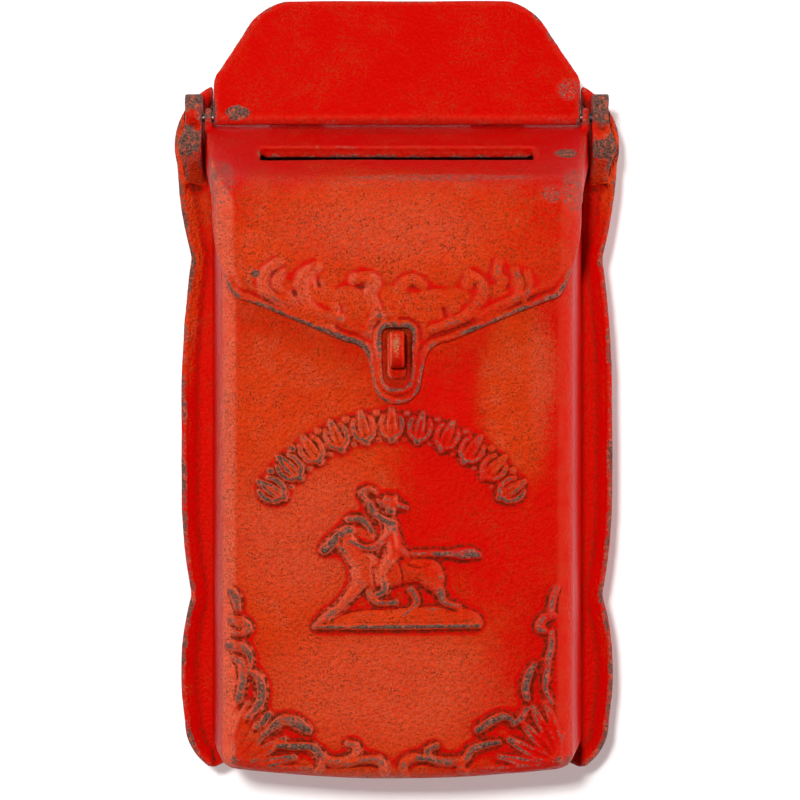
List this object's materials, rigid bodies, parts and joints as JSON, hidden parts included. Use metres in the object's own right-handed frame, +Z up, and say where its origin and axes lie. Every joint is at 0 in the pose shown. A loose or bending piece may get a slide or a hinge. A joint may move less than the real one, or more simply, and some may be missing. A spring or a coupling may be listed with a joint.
{
  "type": "wall mailbox",
  "caption": "Wall-mounted cast-iron letter box with a hinged satchel-flap lid, a flap over its letter slot, a padlock staple and raised relief on the front.",
  "frame": {"origin": "centre of the four wall holes, on the back plate's back face", "axes": "+Z up, the front faces -Y, the back lies on the wall at y = 0, +X to the right seen from the front"},
  "size_m": [0.2014, 0.09, 0.3462],
  "materials": {
    "painted_casting": "worn red paint on cast iron",
    "worn_painted_iron": "red paint worn to iron",
    "bare_steel": "dull oiled steel"
  },
  "bodies": {
    "box": {"back_plate": "painted_casting", "front_body": "painted_casting", "hinge_rod": "bare_steel", "lock_staple": "worn_painted_iron", "staple_backing_plate": "bare_steel", "staple_nut_lower": "bare_steel", "staple_nut_upper": "bare_steel", "body_screw_upper_left": "bare_steel", "body_screw_upper_right": "bare_steel", "body_screw_lower_left": "bare_steel", "body_screw_lower_right": "bare_steel"},
    "lid": {"lid": "painted_casting"},
    "cover": {"slot_cover": "painted_casting"}
  },
  "joints": [
    {"name": "lid_hinge", "type": "hinge", "parent": "box", "child": "lid", "pos_m": [0, -0.022, 0.1265], "axis": [-1, 0, 0], "range_deg": [0, 80]},
    {"name": "cover_hinge", "type": "hinge", "parent": "lid", "child": "cover", "pos_m": [0, -0.022, 0.1265], "axis": [-1, 0, 0], "range_deg": [-125, 0]}
  ]
}
